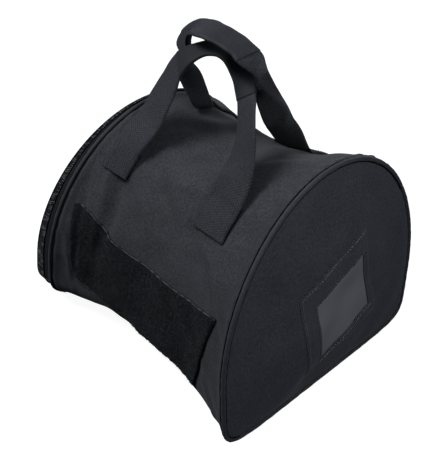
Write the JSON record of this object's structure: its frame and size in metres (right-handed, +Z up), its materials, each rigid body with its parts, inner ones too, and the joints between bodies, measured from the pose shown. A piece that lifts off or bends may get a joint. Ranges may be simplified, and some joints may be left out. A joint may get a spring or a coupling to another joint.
{
  "type": "helmet bag",
  "caption": "soft zipped helmet carry bag with piped D-shaped ends, twisted webbing grab handles, a loop-pile panel on the front and an ID pocket on one end",
  "frame": {"origin": "on the floor, under the middle of the bag's box", "axes": "+X along the bag towards the end with the ID pocket, -Y the front with the loop panel, +Z up"},
  "size_m": [0.3065, 0.2548, 0.3006],
  "materials": {
    "body_cloth": "matte charcoal woven nylon",
    "end_cloth": "matte charcoal woven nylon, a little bluer and darker",
    "piping": "cloth-covered cord",
    "webbing": "ribbed woven webbing",
    "wrap_cloth": "smooth tight-woven nylon",
    "loop_pile": "fuzzy loop pile",
    "zip_tape": "fine ribbed zip tape",
    "zip_coil": "moulded nylon coil, slight sheen",
    "slider_metal": "black lacquer",
    "pocket_cloth": "matte charcoal woven nylon",
    "window_pvc": "hazy clear vinyl over a dark lining"
  },
  "bodies": {
    "root": {"body_shell": "body_cloth", "end_panel_right": "end_cloth", "end_panel_left": "end_cloth", "piping_right": "piping", "piping_left": "piping", "zip_tape_body": "zip_tape", "zip_coil": "zip_coil", "zip_tape_door": "zip_tape", "zip_gusset": "body_cloth", "zip_slider": "slider_metal", "handle_front": "webbing", "handle_back": "webbing", "handle_front_sleeve": "wrap_cloth", "handle_back_sleeve": "wrap_cloth", "loop_panel": "loop_pile", "id_pocket_frame": "pocket_cloth", "id_window": "window_pvc"}
  },
  "joints": []
}
